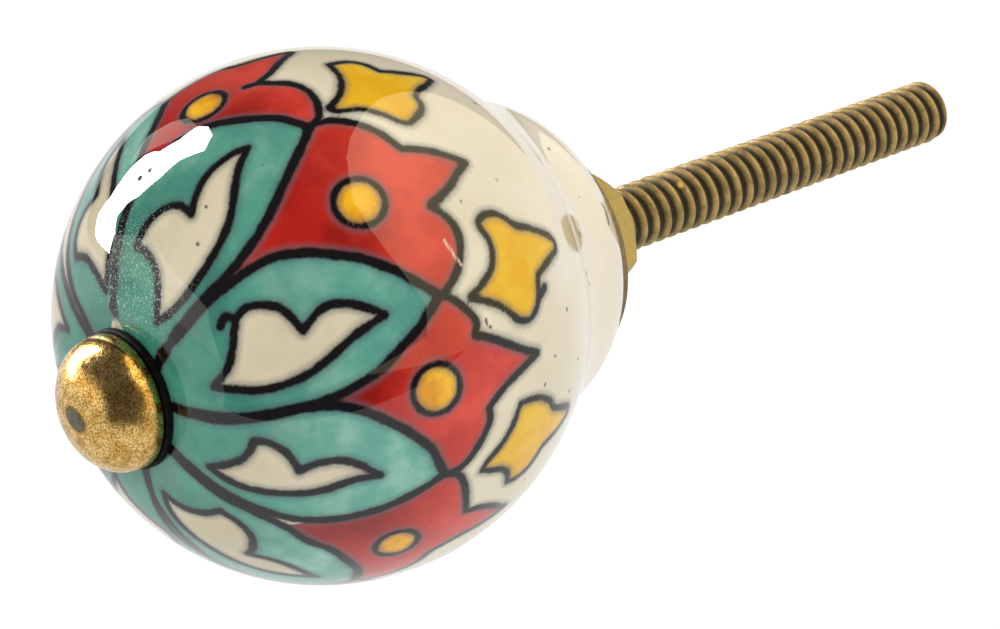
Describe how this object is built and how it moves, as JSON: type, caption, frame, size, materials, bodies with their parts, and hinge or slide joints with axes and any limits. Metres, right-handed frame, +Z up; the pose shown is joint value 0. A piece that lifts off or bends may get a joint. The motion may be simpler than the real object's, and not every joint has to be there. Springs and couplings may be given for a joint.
{
  "type": "cabinet knob",
  "caption": "Round glazed ceramic cabinet knob with a domed brass cap, fixed by a threaded brass rod with a washer and hexagon nut.",
  "frame": {"origin": "centre of the nut's outer face on the rod's axis, where the free length of the rod begins", "axes": "+Y along the rod, away from the knob and into the furniture; +Z up as fitted; the capped nose points to -Y"},
  "size_m": [0.0379, 0.0859, 0.038],
  "materials": {
    "painted_ceramic": "gloss",
    "antique_brass": "worn",
    "plain_brass": "dull",
    "black_rubber": "matt"
  },
  "bodies": {
    "root": {"ceramic_body": "painted_ceramic", "cushion_washer": "black_rubber", "domed_cap": "antique_brass", "threaded_rod": "plain_brass", "back_washer": "plain_brass", "hex_nut": "plain_brass"}
  },
  "joints": []
}
